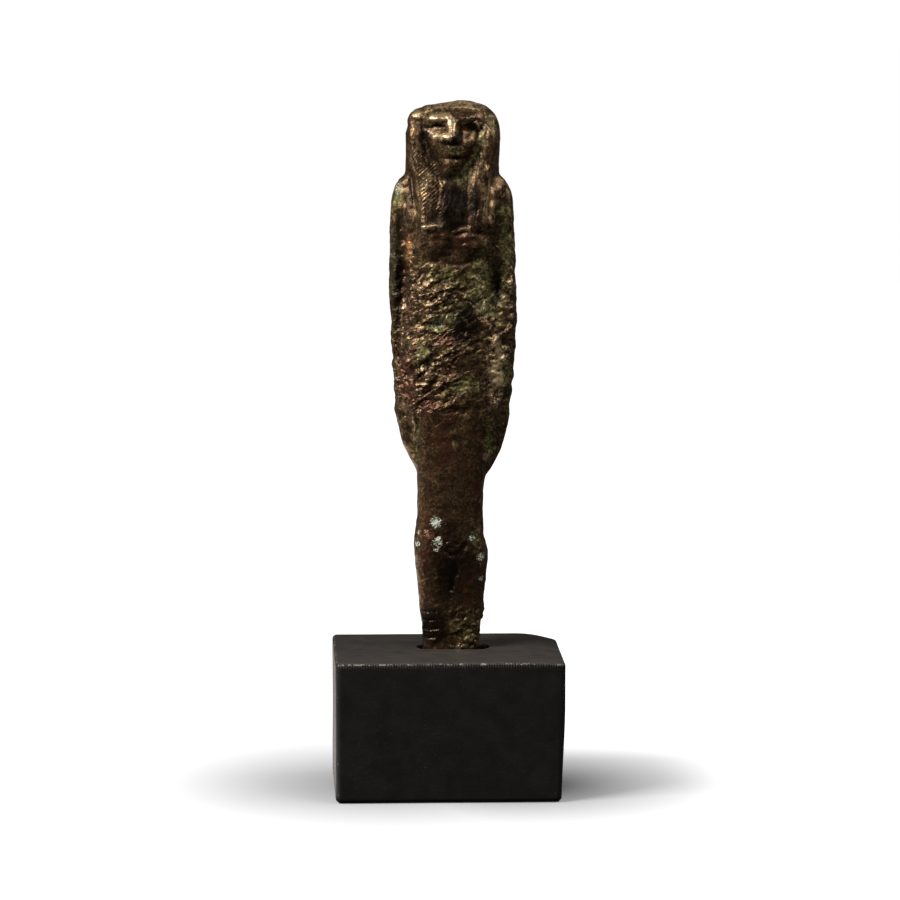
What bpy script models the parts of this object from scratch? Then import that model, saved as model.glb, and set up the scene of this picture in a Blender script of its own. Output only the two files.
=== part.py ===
"""A small cast bronze figure of a lioness-headed goddess, set in a slot in a black block plinth.

Metres, +Z up. The figure faces -Y, and left is -X, as one who stands before it sees it.
The origin is at the middle of the plinth's underside.
The figure is one casting, worn and corroded. Its form is written in percent of its own height.
"""

import math

import bmesh
import bpy
from mathutils import Matrix, Vector, noise

# The plinth is a block of blackened wood with softened corners.
PLINTH_WIDTH = 0.0464
PLINTH_DEPTH = 0.0346
PLINTH_HEIGHT = 0.0288
PLINTH_CORNER_RADIUS = 0.0012
PLINTH_TOP_ARRIS = 0.0004
PLINTH_FOOT_CHAMFER = 0.0007

# The figure stands this high above the plinth's top, and its foot end is straight in the slot.
FIGURE_HEIGHT = 0.1120
FIGURE_TURN = math.radians(-2.5)
FOOT_WIDTH = 0.0114
FOOT_DEPTH = 0.0050
FOOT_LEFT_OF_MIDDLE = 0.0002

# The slot in the plinth's top is longer than the foot end, more so on the right.
SLOT_DEEP = 0.0060
SLOT_CLEARANCE = 0.0003
SLOT_ROOM_LEFT = 0.0011
SLOT_ROOM_RIGHT = 0.0023
SLOT_POINT = 0.0015
SLOT_RIGHT_OF_MIDDLE = 0.0012
SLOT_BEHIND_MIDDLE = 0.0017

# How finely the wax model is gathered into one skin, and how many faces are kept.
RING_POINTS = 36
RING_SPACING = 0.0012
SKIN_VOXEL = 0.00042
SKIN_SMOOTHING = 6
SKIN_TRIANGLES = 8600

# Corrosion lumps: their size, then how strong they are at each height, all in percent of the height.
CRUST_LUMP = 2.8
CRUST = (
    (0.0, 0.0),
    (4.0, 0.12),
    (38.0, 0.14),
    (46.0, 0.42),
    (66.0, 0.42),
    (76.0, 0.22),
    (84.0, 0.10),
    (100.0, 0.12),
)


def share(percent):
    """A length given in percent of the figure's height."""
    return FIGURE_HEIGHT * percent / 100


def clear_scene():
    for obj in list(bpy.data.objects):
        bpy.data.objects.remove(obj, do_unlink=True)


def material(name, colour, roughness, metallic):
    made = bpy.data.materials.new(name)
    made.use_nodes = True
    shader = made.node_tree.nodes["Principled BSDF"]
    shader.inputs["Base Color"].default_value = (*colour, 1.0)
    shader.inputs["Roughness"].default_value = roughness
    shader.inputs["Metallic"].default_value = metallic
    return made


def object_from(bm, name, finish=None):
    mesh = bpy.data.meshes.new(name)
    bm.to_mesh(mesh)
    bm.free()
    obj = bpy.data.objects.new(name, mesh)
    bpy.context.scene.collection.objects.link(obj)
    if finish:
        mesh.materials.append(finish)
    return obj


def flowing(stations, height):
    """The station values at a height, on smooth curves through the stations that don't overshoot."""
    heights = [row[0] for row in stations]
    if height <= heights[0]:
        return stations[0][1:]
    if height >= heights[-1]:
        return stations[-1][1:]
    i = max(k for k in range(len(heights) - 1) if heights[k] <= height)

    def slope(k, column):
        if k in (0, len(stations) - 1):
            return 0.0
        before = (stations[k][column] - stations[k - 1][column]) / (heights[k] - heights[k - 1])
        after = (stations[k + 1][column] - stations[k][column]) / (heights[k + 1] - heights[k])
        return 0.0 if before * after <= 0 else 2 * before * after / (before + after)

    step = heights[i + 1] - heights[i]
    t = (height - heights[i]) / step
    values = []
    for column in range(1, len(stations[0])):
        start, end = stations[i][column], stations[i + 1][column]
        values.append(
            (2 * t**3 - 3 * t**2 + 1) * start
            + (t**3 - 2 * t**2 + t) * step * slope(i, column)
            + (3 * t**2 - 2 * t**3) * end
            + (t**3 - t**2) * step * slope(i + 1, column)
        )
    return values


def ring(bm, height, centre, half_width, front, back, squareness):
    """One level section: a rounded rectangle, front and back depths given apart, in percent."""
    verts = []
    for k in range(RING_POINTS):
        angle = 2 * math.pi * k / RING_POINTS
        across, along = math.cos(angle), math.sin(angle)
        x = centre + half_width * math.copysign(abs(across) ** (2 / squareness), across)
        depth = back if along > 0 else front
        y = depth * math.copysign(abs(along) ** (2 / squareness), along)
        verts.append(bm.verts.new((share(x), share(y), share(height))))
    return verts


def loft(bm, stations, squareness):
    """A closed body through level stations of (height, centre, half width, front, back)."""
    low, high = stations[0][0], stations[-1][0]
    steps = max(3, math.ceil(share(high - low) / RING_SPACING))
    before = None
    for k in range(steps + 1):
        height = low + (high - low) * k / steps
        centre, half_width, front, back = flowing(stations, height)
        verts = ring(bm, height, centre, half_width, front, back, squareness)
        if before is None:
            bm.faces.new(list(reversed(verts)))
        else:
            for a in range(RING_POINTS):
                b = (a + 1) % RING_POINTS
                bm.faces.new((before[a], before[b], verts[b], verts[a]))
        before = verts
    bm.faces.new(before)


def ball(bm, at, radii):
    """A rounded lump, in percent of the height."""
    place = Matrix.Translation([share(v) for v in at]) @ Matrix.Diagonal([*[share(r) for r in radii], 1])
    bmesh.ops.create_uvsphere(bm, u_segments=24, v_segments=16, radius=1.0, matrix=place)


# Trunk and legs in a long sheath dress: height, centre, half width, front, back.
TRUNK = (
    (5.5, 0.0, 5.6, 2.9, 2.9),
    (9.1, 0.0, 6.0, 3.1, 3.2),
    (13.5, 0.1, 6.4, 3.4, 3.9),
    (17.1, 0.0, 6.7, 3.8, 4.3),
    (20.7, -0.3, 6.3, 3.7, 4.2),
    (25.1, -0.2, 6.0, 3.7, 3.9),
    (30.2, -0.1, 6.1, 4.0, 4.0),
    (32.7, 0.1, 6.4, 4.3, 4.3),
    (38.2, 0.1, 7.0, 4.8, 5.0),
    (41.5, 0.2, 7.9, 5.0, 5.4),
    (44.5, 0.2, 9.4, 5.1, 5.8),
    (49.1, 0.2, 9.8, 5.2, 6.1),
    (56.4, 0.2, 9.6, 5.3, 5.7),
    (65.8, -0.6, 8.0, 5.0, 4.8),
    (70.5, -0.4, 8.2, 5.0, 4.8),
    (75.5, 0.0, 8.4, 5.2, 5.0),
    (79.0, 0.0, 9.2, 5.0, 5.0),
    (82.5, 0.1, 9.0, 4.4, 4.8),
    (84.7, 0.1, 8.0, 3.7, 4.4),
    (87.0, 0.2, 5.5, 2.9, 3.5),
)

# The metal left between the arms and the trunk: height, centre, half width, front, back.
WEB = (
    (37.0, 0.2, 6.5, 1.0, 3.0),
    (43.0, 0.2, 8.2, 2.0, 3.2),
    (56.0, 0.2, 9.8, 3.0, 3.2),
    (66.0, 0.2, 10.0, 3.4, 3.2),
    (73.0, 0.2, 10.2, 4.2, 3.2),
    (80.0, 0.2, 10.0, 4.4, 3.2),
    (84.5, 0.2, 9.0, 3.6, 3.2),
)

# The arms hang at the sides, hands flat on the thighs: height, outer edge left and right, width.
ARMS = (
    (31.8, 6.0, 6.4, 1.8),
    (33.1, 6.6, 7.4, 2.8),
    (35.3, 7.8, 8.6, 3.6),
    (38.2, 9.1, 9.6, 3.8),
    (41.1, 9.8, 10.3, 3.8),
    (43.3, 10.1, 10.5, 3.5),
    (49.1, 10.4, 11.2, 3.7),
    (58.5, 10.8, 11.8, 4.2),
    (64.0, 11.1, 11.8, 4.4),
    (74.0, 11.1, 11.5, 4.4),
    (80.4, 11.0, 11.3, 4.6),
    (83.3, 10.5, 10.9, 4.6),
    (84.7, 10.0, 10.3, 4.4),
    (85.9, 9.1, 9.4, 3.4),
    (86.6, 8.2, 8.5, 2.0),
)
ARM_DEPTH_MIDDLE = 0.4
ARM_DEPTH_SHARE = 0.64

# The heavy wig: height, centre, half width, front, back.
WIG = (
    (79.0, 0.2, 6.9, 0.6, 5.9),
    (84.7, 0.2, 8.1, 2.6, 6.4),
    (87.6, 0.2, 8.5, 3.3, 6.7),
    (90.5, 0.3, 8.5, 3.6, 6.8),
    (94.2, 0.4, 8.5, 3.9, 6.8),
    (95.8, 0.5, 8.1, 4.1, 6.6),
    (97.3, 0.5, 7.4, 4.0, 6.0),
    (98.4, 0.5, 6.3, 3.4, 5.0),
    (99.2, 1.5, 4.1, 2.5, 3.5),
    (99.7, 2.0, 1.6, 1.0, 1.2),
)

# The lappets run from the wig down onto the chest: height, inner edge, outer edge, front.
LAPPETS = (
    (76.6, 2.0, 6.1, 6.5),
    (79.5, 2.3, 6.3, 6.4),
    (82.0, 2.1, 6.4, 6.1),
    (85.5, 1.8, 6.7, 5.6),
    (88.2, 3.2, 7.5, 5.2),
    (90.5, 4.2, 8.0, 5.2),
    (94.0, 4.9, 8.2, 5.0),
    (97.4, 4.6, 7.2, 3.6),
)
LAPPET_RIGHT_SHIFT = 0.6

# The collar and the mane that fill the wig's opening: height, centre, half width, front, back.
RUFF = (
    (76.9, 0.3, 3.4, 6.2, 0.0),
    (80.0, 0.3, 3.4, 6.1, 0.0),
    (83.0, 0.3, 3.3, 5.6, 0.0),
    (85.0, 0.3, 3.6, 5.2, 0.0),
    (87.5, 0.3, 4.9, 4.9, 0.0),
    (90.5, 0.3, 6.0, 4.8, 0.0),
    (94.0, 0.4, 6.8, 4.7, 0.0),
    (97.0, 0.4, 6.2, 4.2, 0.0),
)

# The face: height, centre, half width, front, back.
FACE = (
    (86.0, 0.0, 1.6, 4.8, 0.0),
    (87.3, 0.1, 2.9, 5.5, 0.0),
    (89.1, 0.2, 3.9, 5.7, 0.0),
    (90.9, 0.2, 4.6, 5.6, 0.0),
    (92.7, 0.2, 5.0, 5.6, 0.0),
    (94.9, 0.3, 5.2, 5.4, 0.0),
    (96.4, 0.3, 5.0, 5.1, 0.0),
    (98.0, 0.3, 4.2, 4.4, 0.0),
)

# The lioness's muzzle and broad nose: height, centre, half width, front, back.
MUZZLE = (
    (86.8, 0.0, 1.6, 5.7, 0.0),
    (87.8, 0.0, 2.4, 6.5, 0.0),
    (88.9, 0.2, 2.8, 6.9, 0.0),
    (89.9, 0.4, 3.0, 6.8, 0.0),
    (91.0, 0.5, 3.3, 7.4, 0.0),
    (92.0, 0.5, 3.0, 7.3, 0.0),
    (92.8, 0.4, 2.6, 7.8, 0.0),
    (93.5, 0.4, 2.2, 8.2, 0.0),
    (94.3, 0.4, 1.9, 7.7, 0.0),
    (95.4, 0.3, 1.6, 6.8, 0.0),
    (96.8, 0.2, 1.4, 5.8, 0.0),
)

# Rounded lumps, mirrored to both sides: across, depth, height, then the three radii.
LUMPS = {
    "breast": (3.3, -3.5, 74.2, 3.6, 2.6, 2.8),
    "buttock": (4.3, 2.4, 47.0, 4.9, 3.9, 7.0),
    "brow": (2.5, -3.9, 97.0, 2.4, 1.8, 0.9),
    "cheek": (2.6, -3.4, 92.4, 2.4, 2.5, 2.4),
    "ear": (6.7, -2.3, 96.2, 1.5, 1.5, 1.7),
}

# Places pressed into the front: across, height, radius across, radius up, how deep.
PRESSED = {
    "left eye socket": (-2.4, 95.5, 1.9, 1.4, 0.9),
    "right eye socket": (3.5, 95.4, 1.8, 1.5, 0.9),
    "under the nose": (0.4, 92.4, 2.6, 0.8, 0.5),
    "mouth": (0.5, 89.9, 2.8, 0.7, 0.9),
    "pit in the belly": (-2.6, 59.6, 2.2, 1.3, 0.6),
    "hollow inside the right arm": (8.3, 66.3, 2.6, 5.5, 1.2),
    "hollow inside the left arm": (-8.6, 68.0, 1.5, 5.5, 0.6),
    "waist on the right": (6.0, 65.5, 2.8, 5.2, 0.5),
}

# Places that stand out on the front, in the same way.
RAISED = {
    "left eyeball": (-2.4, 95.4, 1.0, 0.8, 0.5),
    "right eyeball": (3.5, 95.3, 1.0, 0.8, 0.5),
    "lower lip": (0.2, 88.9, 2.4, 0.7, 0.2),
}

# Lines drawn with a tool: width, how deep, then points as across, height.
STROKES = {
    "left edge of the face": (0.7, 0.25, ((-5.0, 96.5), (-4.7, 92.4), (-3.3, 88.4), (-1.7, 85.6))),
    "right edge of the face": (0.7, 0.2, ((5.7, 95.8), (5.1, 92.0), (3.8, 88.6), (1.4, 86.0))),
    "fold under the breasts": (1.2, 0.3, ((-5.0, 73.3), (-2.6, 71.9), (0.6, 71.2), (3.6, 71.5), (6.0, 73.0))),
    "between the shins": (1.5, 0.3, ((1.2, 14.8), (0.5, 11.4), (0.4, 9.8))),
}


def foot_stations():
    """The foot end, straight in the slot, in percent of the height like the rest."""
    percent = 100 / FIGURE_HEIGHT
    bottom = (SLOT_CLEARANCE - SLOT_DEEP) * percent
    half_depth = FOOT_DEPTH / 2 * percent
    section = (-FOOT_LEFT_OF_MIDDLE * percent, FOOT_WIDTH / 2 * percent, half_depth, half_depth)
    return ((bottom, *section), (0.0, *section), (1.5, *section))


def arm_stations(side):
    """The left (-1) or right (1) arm as lofted sections."""
    rows = []
    for height, left, right, width in ARMS:
        outer = left if side < 0 else right
        half = width / 2
        depth = width * ARM_DEPTH_SHARE
        rows.append((height, side * (outer - half), half, depth - ARM_DEPTH_MIDDLE, depth + ARM_DEPTH_MIDDLE))
    return rows


def lappet_stations(side):
    """The left (-1) or right (1) lappet as lofted sections."""
    shift = LAPPET_RIGHT_SHIFT if side > 0 else 0.0
    return [
        (height, side * (inner + outer) / 2 + shift, (outer - inner) / 2, front, 0.0)
        for height, inner, outer, front in LAPPETS
    ]


def model_in_wax():
    """All the masses of the figure as overlapping closed bodies."""
    bm = bmesh.new()
    loft(bm, (*foot_stations(), *TRUNK), squareness=2.6)
    loft(bm, WEB, squareness=2.2)
    for side in (-1, 1):
        loft(bm, arm_stations(side), squareness=2.2)
        loft(bm, lappet_stations(side), squareness=3.0)
        for across, depth, height, *radii in LUMPS.values():
            ball(bm, (side * across + 0.2, depth, height), radii)
    loft(bm, WIG, squareness=2.7)
    loft(bm, RUFF, squareness=4.0)
    loft(bm, FACE, squareness=2.2)
    loft(bm, MUZZLE, squareness=2.4)
    return bm


def falloff(reach):
    """1 in the middle of a tool mark and 0 at its edge."""
    return (1 - reach**2) ** 2 if reach < 1 else 0.0


def off_line(x, z, points):
    """How far a place on the front is from a line drawn through points."""
    nearest = math.inf
    for (x0, z0), (x1, z1) in zip(points, points[1:]):
        dx, dz = x1 - x0, z1 - z0
        along = min(1.0, max(0.0, ((x - x0) * dx + (z - z0) * dz) / (dx * dx + dz * dz)))
        nearest = min(nearest, math.hypot(x - x0 - along * dx, z - z0 - along * dz))
    return nearest


def tool_marks(x, z):
    """How deep the front is pressed in at a place, in percent of the height."""
    depth = 0.0
    for marks, way in ((PRESSED, 1), (RAISED, -1)):
        for at_x, at_z, wide, tall, deep in marks.values():
            if abs(x - at_x) < wide and abs(z - at_z) < tall:
                depth += way * deep * falloff(math.hypot((x - at_x) / wide, (z - at_z) / tall))
    for width, deep, points in STROKES.values():
        heights = [point[1] for point in points]
        if min(heights) - width < z < max(heights) + width:
            depth += deep * falloff(off_line(x, z, points) / width)
    return depth


def corrosion(place):
    """Lumps and hollows eaten into the old bronze, in percent of the height."""
    (strength,) = flowing(CRUST, place.z)
    return strength * noise.fractal(place / CRUST_LUMP, 1.0, 2.0, 3)


def weather(mesh):
    """Tool marks on the front, then corrosion all over, above the slot."""
    mesh.update()
    moved = []
    for vert in mesh.vertices:
        place, normal = vert.co * 100 / FIGURE_HEIGHT, vert.normal
        push = normal * corrosion(place)
        if normal.y < 0:
            push.y += tool_marks(place.x, place.z) * min(1.0, -2 * normal.y)
        moved.append(vert.co + push * FIGURE_HEIGHT / 100)
    for vert, place in zip(mesh.vertices, moved):
        vert.co = place


def evaluated_mesh(obj):
    graph = bpy.context.evaluated_depsgraph_get()
    return bpy.data.meshes.new_from_object(obj.evaluated_get(graph))


def cast_figure(finish):
    """Gathers the wax into one skin, works its surface and thins its faces."""
    figure = object_from(model_in_wax(), "figure", finish)
    skin = figure.modifiers.new("one skin", "REMESH")
    skin.mode = "VOXEL"
    skin.voxel_size = SKIN_VOXEL
    worn = figure.modifiers.new("worn soft", "SMOOTH")
    worn.factor = 0.5
    worn.iterations = SKIN_SMOOTHING
    bpy.context.view_layer.update()
    skinned = evaluated_mesh(figure)
    weather(skinned)
    figure.modifiers.clear()
    figure.data = skinned
    faces = sum(len(face.vertices) - 2 for face in skinned.polygons)
    thin = figure.modifiers.new("fewer faces", "DECIMATE")
    thin.ratio = min(1.0, SKIN_TRIANGLES / faces)
    along_slot = FOOT_LEFT_OF_MIDDLE + (SLOT_ROOM_LEFT - SLOT_ROOM_RIGHT) / 2
    figure.location = (
        SLOT_RIGHT_OF_MIDDLE + along_slot * math.cos(FIGURE_TURN),
        SLOT_BEHIND_MIDDLE + along_slot * math.sin(FIGURE_TURN),
        PLINTH_HEIGHT,
    )
    figure.rotation_euler = (0, 0, FIGURE_TURN)
    return figure


def slot_cutter():
    """A slot with pointed ends, through the plinth's top."""
    half_breadth = FOOT_DEPTH / 2 + SLOT_CLEARANCE
    straight = (SLOT_ROOM_LEFT + FOOT_WIDTH + SLOT_ROOM_RIGHT) / 2 - SLOT_POINT
    bm = bmesh.new()
    outline = []
    for end, start in ((1, -90), (-1, 90)):
        for k in range(13):
            angle = math.radians(start + 15 * k)
            across, along = math.cos(angle), math.sin(angle)
            x = end * straight + SLOT_POINT * across
            outline.append(bm.verts.new((x, half_breadth * along * abs(along), -SLOT_DEEP)))
    floor = bm.faces.new(outline)
    raised = bmesh.ops.extrude_face_region(bm, geom=[floor])["geom"]
    top = [v for v in raised if isinstance(v, bmesh.types.BMVert)]
    bmesh.ops.translate(bm, verts=top, vec=(0, 0, 2 * SLOT_DEEP))
    bmesh.ops.recalc_face_normals(bm, faces=bm.faces)
    cutter = object_from(bm, "slot cutter")
    cutter.location = (SLOT_RIGHT_OF_MIDDLE, SLOT_BEHIND_MIDDLE, PLINTH_HEIGHT)
    cutter.rotation_euler = (0, 0, FIGURE_TURN)
    cutter.hide_render = True
    cutter.display_type = "WIRE"
    return cutter


def edges_where(bm, test):
    return [e for e in bm.edges if test(*[v.co for v in e.verts])]


def soften(bm, edges, offset, segments):
    bmesh.ops.bevel(
        bm, geom=edges, offset=offset, segments=segments, profile=0.5, affect="EDGES", material=-1
    )


def plinth(finish):
    bm = bmesh.new()
    size = Vector((PLINTH_WIDTH, PLINTH_DEPTH, PLINTH_HEIGHT))
    place = Matrix.Translation((0, 0, PLINTH_HEIGHT / 2)) @ Matrix.Diagonal((*size, 1))
    bmesh.ops.create_cube(bm, size=1.0, matrix=place)
    soften(bm, edges_where(bm, lambda a, b: abs(a.z - b.z) > PLINTH_HEIGHT / 2), PLINTH_CORNER_RADIUS, 5)
    level = PLINTH_HEIGHT * 1e-4
    soften(bm, edges_where(bm, lambda a, b: min(a.z, b.z) > PLINTH_HEIGHT - level), PLINTH_TOP_ARRIS, 3)
    soften(bm, edges_where(bm, lambda a, b: max(a.z, b.z) < level), PLINTH_FOOT_CHAMFER, 1)
    block = object_from(bm, "plinth", finish)
    cut = block.modifiers.new("slot", "BOOLEAN")
    cut.operation = "DIFFERENCE"
    cut.object = slot_cutter()
    return block


def main():
    clear_scene()
    bronze = material("dark bronze", (0.085, 0.055, 0.035), 0.42, 0.85)
    black = material("blackened wood", (0.012, 0.011, 0.010), 0.45, 0.0)
    plinth(black)
    cast_figure(bronze)


main()
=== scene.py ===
"""The looks of a small bronze figure of a lioness-headed goddess and of the black block it stands in.

Metres, +Z up. The figure faces -Y, and left is -X, as one who stands before it sees it.
"""

import math

import bmesh
import bpy
import numpy as np
from mathutils import Matrix, Vector, noise


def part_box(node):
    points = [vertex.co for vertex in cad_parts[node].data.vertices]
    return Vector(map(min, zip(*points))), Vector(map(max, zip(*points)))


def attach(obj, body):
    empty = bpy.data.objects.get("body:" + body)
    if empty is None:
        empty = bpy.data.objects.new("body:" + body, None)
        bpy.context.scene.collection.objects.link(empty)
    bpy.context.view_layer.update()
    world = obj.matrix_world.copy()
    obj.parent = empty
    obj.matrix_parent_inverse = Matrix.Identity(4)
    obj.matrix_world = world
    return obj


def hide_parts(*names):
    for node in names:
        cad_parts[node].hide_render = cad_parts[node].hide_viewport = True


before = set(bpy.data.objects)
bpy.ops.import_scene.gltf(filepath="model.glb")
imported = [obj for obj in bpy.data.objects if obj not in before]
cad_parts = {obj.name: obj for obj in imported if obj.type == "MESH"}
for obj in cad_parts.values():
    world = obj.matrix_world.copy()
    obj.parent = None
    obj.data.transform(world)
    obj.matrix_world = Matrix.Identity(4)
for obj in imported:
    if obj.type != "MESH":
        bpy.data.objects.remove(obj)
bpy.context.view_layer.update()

# The bronze figure
# One solid casting from a wax model, some eleven centimetres of it above the block. The face, the wig
# and the dress were worked in the wax. Long burial has left it dark, pitted and crusted with green.

FIGURE_TURN = math.radians(-2.5)
CROWN_WORN_TO = 0.998
PLINTH_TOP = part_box("plinth")[1].z
FIGURE_HEIGHT = (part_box("figure")[1].z - PLINTH_TOP) / CROWN_WORN_TO
FOOT_RIGHT_OF_AXIS = -0.0002
SKIN_VOXEL = 0.00021
SKIN_SMOOTHING = 8
MOST_TRIANGLES = 190_000

# From here to the end of the modelling, sizes are in percent of the figure's height: x across from its
# axis, y back from it and z up from the plinth's top. Marks that fade have the heights from and to.

# Pressed into the front or, below nought, raised on it: across, height, their radii, how deep.
DABS = {
    "left eye socket": (-2.4, 96.0, 2.8, 1.4, -0.46),
    "left eye": (-2.3, 95.7, 1.3, 0.8, 0.10),
    "under the left eye": (-2.0, 94.6, 2.4, 1.1, -0.30),
    "right eye": (3.6, 95.7, 2.2, 1.3, -0.62),
    "left brow": (-1.6, 97.2, 2.6, 1.0, -0.16),
    "left cheek": (-2.0, 93.8, 2.2, 1.6, -0.26),
    "right of the bridge": (2.2, 94.8, 1.9, 2.4, 0.40),
    "right cheek": (3.8, 92.6, 1.6, 1.6, -0.12),
    "left side of the nose": (-1.3, 94.2, 1.3, 1.3, -0.20),
    "left side of the muzzle": (-0.9, 92.9, 2.9, 2.5, -0.45),
    "tip of the nose": (0.1, 93.9, 1.4, 1.0, -0.32),
    "under the nose": (0.2, 92.5, 2.2, 0.7, 0.22),
    "middle of the mouth": (0.6, 90.3, 2.4, 0.8, -0.30),
    "right of the mouth": (0.9, 90.0, 0.8, 0.4, 0.14),
    "lower lip": (0.2, 88.9, 1.7, 0.7, 0.10),
    "right lappet": (8.2, 82.0, 1.8, 7.5, -0.50),
    "left ear hollow": (-6.6, 96.5, 0.8, 1.0, 0.14),
    "right ear hollow": (7.0, 96.3, 0.9, 1.4, 0.14),
    "pit in the belly": (-2.8, 60.0, 2.4, 1.1, 0.42),
    "lip of the pit": (-2.6, 58.6, 2.4, 0.6, -0.22),
    "hollow inside the right arm": (8.4, 66.9, 1.9, 6.0, 0.28),
    "waist on the right": (5.3, 66.0, 1.6, 5.4, -0.22),
    "front of the left thigh": (-3.2, 46.5, 3.0, 3.6, -0.15),
    "small glint": (-0.7, 43.9, 0.35, 0.25, -0.15),
    "left shin": (-2.6, 12.5, 2.0, 4.0, -0.20),
    "right shin": (3.1, 12.0, 1.9, 4.0, -0.20),
    "left edge of the foot": (-6.0, 4.0, 1.2, 3.0, -0.15),
}

# Drawn along lines on the front, in the same way: width, how deep, then points as across, height.
LINES = {
    "headband": (0.30, -0.14, ((-6.0, 97.7), (-2.0, 98.8), (1.3, 98.9), (4.5, 98.7), (6.0, 97.8))),
    "left upper lid": (0.40, -0.10, ((-3.6, 95.6), (-3.0, 96.1), (-1.8, 96.2), (-1.0, 95.8))),
    "right temple": (0.35, -0.20, ((4.6, 96.1), (5.0, 95.5), (5.0, 94.8))),
    "right upper lid": (0.40, -0.08, ((2.6, 95.9), (3.4, 96.3), (4.4, 96.1), (5.0, 95.5))),
    "nose ridge": (1.1, -0.26, ((-0.2, 97.4), (0.3, 96.2), (0.2, 95.0), (-0.2, 94.0))),
    "mouth": (0.50, 0.12, ((-2.0, 90.0), (-0.3, 90.0), (1.1, 89.9), (2.5, 89.9))),
    "under the lip": (0.60, 0.12, ((-1.4, 88.2), (0.2, 87.8), (1.6, 88.2))),
    "left edge of the face": (
        1.1, 0.16, ((-5.3, 95.0), (-4.8, 93.0), (-3.9, 91.0), (-2.9, 88.7), (-1.6, 86.3)),
    ),
    "right edge of the face": (0.8, 0.22, ((5.2, 94.8), (4.2, 91.7), (2.6, 89.1), (0.9, 86.9))),
    "rim of the left lappet": (0.40, -0.22, ((-4.9, 92.4), (-3.3, 88.9), (-2.1, 86.4), (-1.6, 84.7))),
    "rim of the right lappet": (0.7, -0.18, ((6.0, 95.0), (5.0, 91.7), (3.4, 88.9), (1.8, 86.9))),
    "left wig panel": (0.4, 0.10, ((-7.4, 93.0), (-7.4, 89.7), (-7.2, 87.2))),
    "beside the left lappet": (0.7, 0.26, ((-7.2, 87.2), (-6.8, 84.0), (-6.4, 80.8), (-6.0, 78.0))),
    "edge of the left lappet": (0.4, -0.14, ((-6.5, 86.6), (-6.2, 84.0), (-5.8, 80.8), (-5.4, 78.2))),
    "inside the left lappet": (0.45, -0.16, ((-1.4, 85.0), (-1.7, 83.1), (-2.1, 81.5), (-2.6, 80.2))),
    "ridge on the right lappet": (0.8, -0.36, ((6.7, 87.9), (7.1, 85.2), (7.3, 82.5), (7.1, 78.0))),
    "beside the right lappet": (0.9, 0.20, ((8.6, 86.0), (8.4, 82.0), (8.0, 78.0), (7.9, 74.0))),
    "end of the left lappet": (0.50, -0.34, ((-5.4, 77.5), (-3.6, 77.7), (-1.6, 77.6))),
    "end of the right lappet": (0.60, -0.32, ((0.6, 76.7), (1.8, 77.0), (3.4, 77.2))),
    "under the lappets": (1.2, -0.34, ((-5.6, 76.2), (-2.0, 76.2), (2.0, 75.8), (5.6, 76.2))),
    "fold under the breasts": (
        0.8, 0.10, ((-4.8, 74.0), (-2.0, 72.2), (2.0, 72.2), (4.0, 72.9), (5.4, 73.8)),
    ),
    "lower fold": (0.6, 0.10, ((-3.0, 71.3), (-1.0, 70.7), (2.0, 70.7), (4.2, 71.5))),
    "beside the left arm": (
        1.3, 0.34, ((-9.0, 84.0), (-9.1, 73.1), (-8.8, 69.5), (-9.0, 65.9), (-9.5, 56.0)),
    ),
    "left side of the body": (0.55, -0.24, ((-7.4, 69.0), (-8.2, 66.7), (-8.7, 65.2), (-9.0, 54.3))),
    "beside the right arm": (
        1.1, 0.24, ((9.9, 84.0), (10.2, 78.5), (10.4, 71.6), (10.3, 62.0), (9.6, 56.0)),
    ),
    "ridge at the right hip": (0.8, -0.20, ((5.8, 62.4), (7.2, 58.0), (8.7, 54.2), (10.3, 51.2))),
    "edge of the left hand": (0.7, -0.22, ((-6.9, 44.5), (-6.7, 41.6), (-6.7, 38.6), (-6.6, 35.3))),
    "inside the left hand": (0.9, 0.18, ((-5.9, 45.0), (-5.8, 41.0), (-5.8, 37.0), (-6.0, 33.5))),
    "edge of the right hand": (0.7, -0.22, ((7.3, 43.5), (7.1, 40.0), (6.7, 37.0), (6.1, 34.8))),
    "high flake": (0.5, -0.28, ((-1.2, 54.7), (1.5, 55.3))),
    "left flake": (0.5, -0.24, ((-7.4, 49.5), (-5.8, 48.8), (-4.1, 48.6))),
    "low flake": (0.45, -0.18, ((-2.0, 48.4), (2.0, 49.2), (6.3, 48.9))),
    "hem": (0.55, -0.16, ((-2.0, 20.3), (-1.1, 18.9), (0.2, 18.2), (1.5, 18.9), (2.4, 20.1))),
    "under the hem": (0.8, 0.16, ((-2.0, 19.4), (-1.1, 18.0), (0.2, 17.3), (1.5, 18.0), (2.6, 19.2))),
    "cleft of the legs": (1.0, 0.32, ((0.7, 15.6), (0.5, 13.3), (0.4, 11.4))),
    "right side of the cleft": (0.6, -0.18, ((1.7, 15.0), (1.2, 13.0), (0.8, 11.2))),
    "first saw mark": (0.36, 0.28, ((-6.6, 6.9), (-3.8, 6.8), (-2.6, 7.0))),
    "second saw mark": (0.36, 0.30, ((-6.4, 5.3), (-4.0, 5.2), (-3.0, 5.3))),
    "third saw mark": (0.36, 0.38, ((-6.2, 3.6), (-3.8, 3.5), (-2.4, 3.7))),
    "fourth saw mark": (0.36, 0.24, ((-6.0, 2.0), (-3.8, 1.9), (-3.0, 2.0))),
}

# How far these marks wander, over what distance, and how much their depth varies. On the head and at
# the foot, where they are small, most of the wandering is left out.
WANDER = 0.45
WANDER_OVER = 1.6
WANDER_SEED = 1
UNEVEN = 0.9
STEADIER = 0.75
STEADY_HEAD = (76.0, 80.0)
STEADY_FOOT = (7.5, 9.5)
WORKED_FROM = (-0.6, 0.4)

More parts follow.
